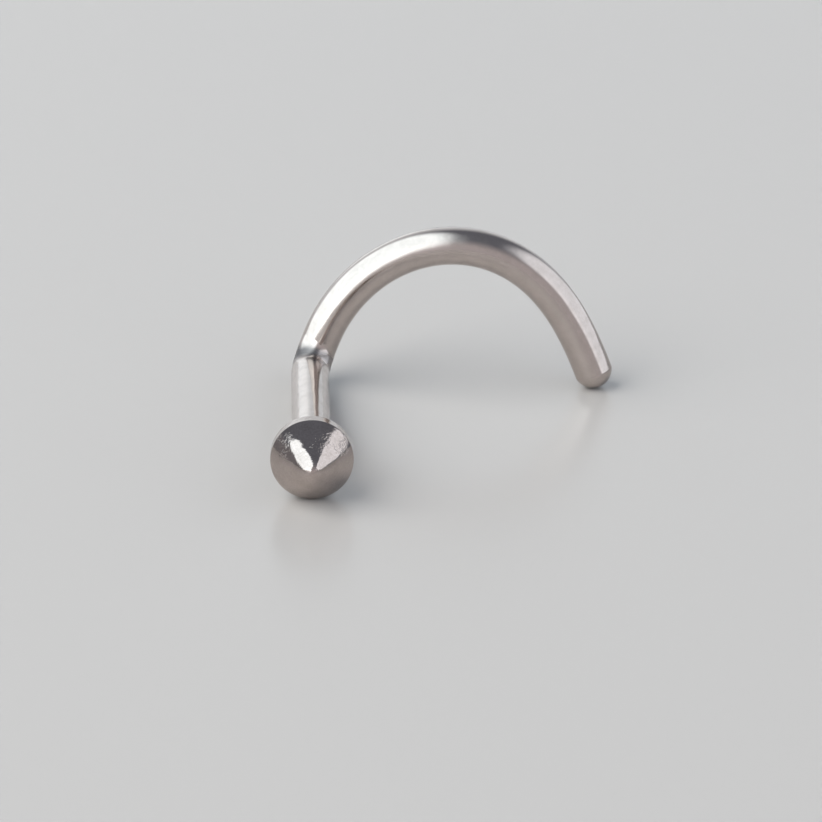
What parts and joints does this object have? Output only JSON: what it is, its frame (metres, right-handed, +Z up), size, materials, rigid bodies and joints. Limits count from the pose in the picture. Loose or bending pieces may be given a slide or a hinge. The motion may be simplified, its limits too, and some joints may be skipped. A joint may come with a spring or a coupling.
{
  "type": "nose stud",
  "caption": "Nose stud of polished steel: a small cone head on a straight post that bends into a C-shaped hook.",
  "frame": {"origin": "centre of the bounding box's base, on the surface that the stud lies on", "axes": "+Z up; +Y in plan from the head along the post to the hook; the hook bends towards +X"},
  "size_m": [0.009, 0.0092, 0.0043],
  "materials": {
    "polished_steel": "mirror polished surgical steel with fine turning rings on the cone"
  },
  "bodies": {
    "root": {"nose_stud": "polished_steel"}
  },
  "joints": []
}
